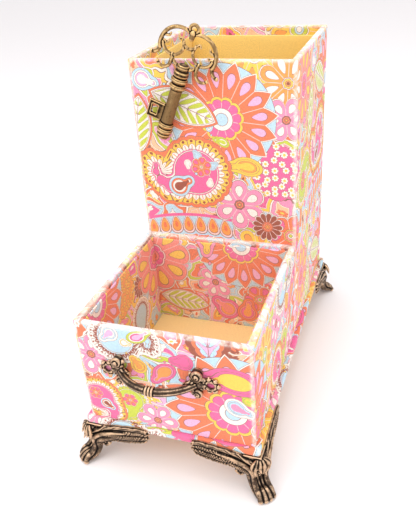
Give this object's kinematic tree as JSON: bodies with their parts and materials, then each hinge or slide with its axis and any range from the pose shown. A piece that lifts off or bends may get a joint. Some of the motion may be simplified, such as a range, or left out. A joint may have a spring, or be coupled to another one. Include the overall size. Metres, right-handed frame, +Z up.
{
  "type": "desk organiser box",
  "caption": "Footed desk organiser with a tall open box behind a low open tray box, covered in printed fabric, with a cast pull, a cast key ornament and clawed corner feet.",
  "frame": {"origin": "bottom centre of the bounding box, on the surface that the feet stand on", "axes": "+Z up, +Y from the tray at the front to the tall box at the back, +X to the right seen from the front"},
  "size_m": [0.1266, 0.2418, 0.2392],
  "materials": {
    "chipboard": "raw grey-brown board, matte",
    "printed_cotton": "plain-weave cotton with a retro floral and paisley print, matte",
    "yellow_lining": "plain golden-yellow cotton, matte",
    "peach_lining": "plain peach-yellow cotton, matte",
    "antique_bronze": "cast alloy with dark antique bronze plating, worn brighter on the edges"
  },
  "bodies": {
    "root": {"base_board": "chipboard", "base_cover": "printed_cotton", "base_underside_liner": "yellow_lining", "tall_front_board": "chipboard", "tall_back_board": "chipboard", "tall_left_board": "chipboard", "tall_right_board": "chipboard", "tall_floor_board": "chipboard", "tray_front_board": "chipboard", "tray_back_board": "chipboard", "tray_left_board": "chipboard", "tray_right_board": "chipboard", "tray_floor_board": "chipboard", "tall_cover": "printed_cotton", "tray_cover": "printed_cotton", "tall_front_liner": "yellow_lining", "tall_back_liner": "yellow_lining", "tall_left_liner": "yellow_lining", "tall_right_liner": "yellow_lining", "tall_floor_liner": "yellow_lining", "tray_front_liner": "printed_cotton", "tray_back_liner": "printed_cotton", "tray_left_liner": "printed_cotton", "tray_right_liner": "printed_cotton", "tray_floor_liner": "peach_lining", "pull_handle": "antique_bronze", "key_ornament": "antique_bronze", "foot_front_left": "antique_bronze", "foot_front_right": "antique_bronze", "foot_back_left": "antique_bronze", "foot_back_right": "antique_bronze"}
  },
  "joints": []
}
